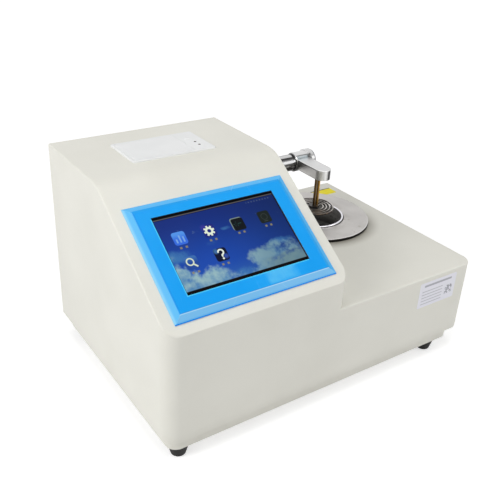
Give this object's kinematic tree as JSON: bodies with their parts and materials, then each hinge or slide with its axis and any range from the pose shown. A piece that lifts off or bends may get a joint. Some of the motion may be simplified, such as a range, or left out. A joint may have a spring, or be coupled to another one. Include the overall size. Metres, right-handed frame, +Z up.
{
  "type": "flash point tester",
  "caption": "Open-cup flash point tester: console with sloping touch screen and printer, heated platform with steel cup and disc, and a powered arm with brass tubes and a ring detector.",
  "frame": {"origin": "on the bench, under the middle of the object's outline", "axes": "+X to the right seen from the front, +Y to the rear, +Z up"},
  "size_m": [0.461, 0.322, 0.2772],
  "materials": {
    "cream_paint": "satin powder coat",
    "black_rubber": "matt rubber",
    "blue_plastic": "glossy moulded plastic",
    "screen_glass": "lit display under glass",
    "dark_plastic": "matt black plastic",
    "white_plastic": "satin white plastic",
    "paper_white": "thermal paper",
    "polished_steel": "polished stainless steel",
    "satin_steel": "satin stainless steel",
    "dull_steel": "zinc-plated steel",
    "aged_brass": "heat-darkened brass",
    "bronze": "sintered bronze",
    "bare_aluminium": "machined aluminium",
    "mineral_wool": "pressed mineral fibre",
    "circuit_green": "circuit board lacquer",
    "label_white": "blank white label film",
    "sticker_yellow": "blank yellow label film",
    "lamp_dark": "smoked lamp lens"
  },
  "bodies": {
    "casing": {"upper_cover": "cream_paint", "rear_panel": "cream_paint", "base_tray": "cream_paint", "rubber_feet": "black_rubber", "screen_bezel": "blue_plastic", "touch_glass": "screen_glass", "screen_module": "dark_plastic", "power_inlet": "dark_plastic", "switch_housing": "dark_plastic", "fuse_holder": "dark_plastic", "fuse_cap": "dark_plastic", "fan_frame": "dark_plastic", "printer_frame": "white_plastic", "arm_sleeve": "polished_steel", "furnace_disc": "satin_steel", "disc_spacers": "satin_steel", "arm_bush": "satin_steel", "inlet_pins": "satin_steel", "furnace_can": "dull_steel", "band_heater": "dull_steel", "block_sensor": "dull_steel", "bush_nut": "dull_steel", "arm_motor": "dull_steel", "motor_bracket": "dull_steel", "screen_bracket": "dull_steel", "fan_guard": "dull_steel", "panel_screws": "dull_steel", "foot_screws": "dull_steel", "roll_spindle": "dull_steel", "serial_port": "dull_steel", "power_supply": "dull_steel", "gas_inlet": "aged_brass", "gas_nut": "aged_brass", "gas_valve": "aged_brass", "sleeve_bearings": "bronze", "heater_block": "bare_aluminium", "print_head": "bare_aluminium", "insulation": "mineral_wool", "printer_board": "circuit_green", "controller_board": "circuit_green", "front_label": "label_white", "top_sticker": "sticker_yellow", "status_lamps": "lamp_dark"},
    "test_arm": {"arm_shaft": "satin_steel", "arm_washer": "dark_plastic", "arm_head": "polished_steel", "arm_cap": "polished_steel", "arm_bar": "polished_steel", "gas_tube": "aged_brass", "pilot_tube": "aged_brass", "ring_detector": "polished_steel", "shaft_coupling": "bare_aluminium", "motor_shaft": "dull_steel"},
    "paper_door": {"paper_door": "white_plastic"},
    "platen": {"platen_roller": "black_rubber"},
    "roll": {"paper_roll": "paper_white"},
    "feed_key": {"feed_button": "white_plastic"},
    "cup": {"test_cup": "polished_steel"},
    "rocker": {"power_rocker": "dark_plastic"},
    "fan": {"fan_rotor": "dark_plastic"}
  },
  "joints": [
    {"name": "arm_lift", "type": "hinge", "parent": "casing", "child": "test_arm", "pos_m": [0.0695, 0.09135, 0.2064], "axis": [-1, 0, 0], "range_deg": [0, 90]},
    {"name": "door_hinge", "type": "hinge", "parent": "casing", "child": "paper_door", "pos_m": [-0.1625, 0.0669, 0.2747], "axis": [0, -1, 0], "range_deg": [0, 90]},
    {"name": "platen_turn", "type": "hinge", "parent": "paper_door", "child": "platen", "pos_m": [-0.0966, 0.0669, 0.2693], "axis": [0, 1, 0], "continuous": true},
    {"name": "roll_turn", "type": "hinge", "parent": "casing", "child": "roll", "pos_m": [-0.1285, 0.0669, 0.2552], "axis": [0, 1, 0], "continuous": true},
    {"name": "feed_press", "type": "slide", "parent": "casing", "child": "feed_key", "axis": [0, 0, -1], "range_m": [0, 0.0008], "stiffness_N_per_m": 400},
    {"name": "cup_lift", "type": "slide", "parent": "casing", "child": "cup", "axis": [0, 0, 1], "range_m": [0, 0.03]},
    {"name": "power_rock", "type": "hinge", "parent": "casing", "child": "rocker", "pos_m": [-0.0675, 0.14075, 0.065], "axis": [-1, 0, 0], "range_deg": [0, 16]},
    {"name": "fan_spin", "type": "hinge", "parent": "casing", "child": "fan", "pos_m": [-0.1115, 0.12835, 0.196], "axis": [0, 1, 0], "continuous": true}
  ],
  "couplings": [
    {"joint": "roll_turn", "follows": "platen_turn", "ratio": 0.23529}
  ]
}
